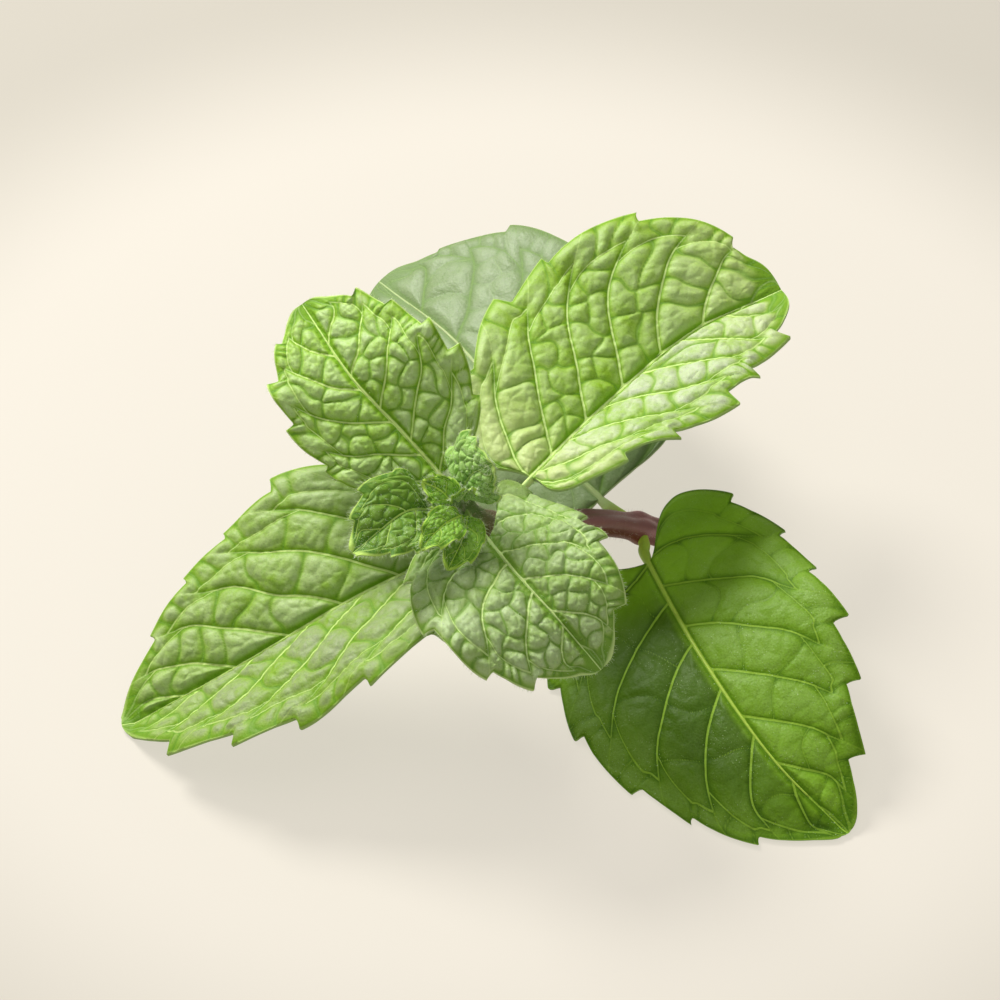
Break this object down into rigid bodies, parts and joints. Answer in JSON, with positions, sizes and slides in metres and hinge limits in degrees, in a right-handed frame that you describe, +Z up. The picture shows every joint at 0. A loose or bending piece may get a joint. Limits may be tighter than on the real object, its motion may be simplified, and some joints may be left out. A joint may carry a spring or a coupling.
{
  "type": "spearmint sprig",
  "caption": "Cut sprig of spearmint lying on a surface: a square stem with crossed pairs of toothed, puckered leaves that grow smaller towards a tip of unopened leaves.",
  "frame": {"origin": "centre of the sprig's footprint, on the surface it lies on", "axes": "+Z up from the surface; +X from the shoot tip's side towards the stem's cut end; -Y towards the viewer of the picture"},
  "size_m": [0.0974, 0.1025, 0.0463],
  "materials": {
    "stem": "purple-brown stem skin, satin",
    "leaf_1_front": "dark green leaf, satin",
    "leaf_1_back": "pale green leaf, satin",
    "leaf_2_left": "green leaf, satin",
    "leaf_2_right": "green leaf, satin",
    "leaf_3_back": "green leaf, satin",
    "leaf_3_front": "light green leaf, satin",
    "leaf_4_left": "light green young leaf, downy",
    "leaf_4_right": "light green young leaf, downy",
    "shoot_tip": "yellow-green unopened leaves, downy"
  },
  "bodies": {
    "root": {"stem": "stem", "leaf_1_front": "leaf_1_front", "leaf_1_back": "leaf_1_back", "leaf_2_left": "leaf_2_left", "leaf_2_right": "leaf_2_right", "leaf_3_back": "leaf_3_back", "leaf_3_front": "leaf_3_front", "leaf_4_left": "leaf_4_left", "leaf_4_right": "leaf_4_right", "shoot_tip": "shoot_tip"}
  },
  "joints": []
}
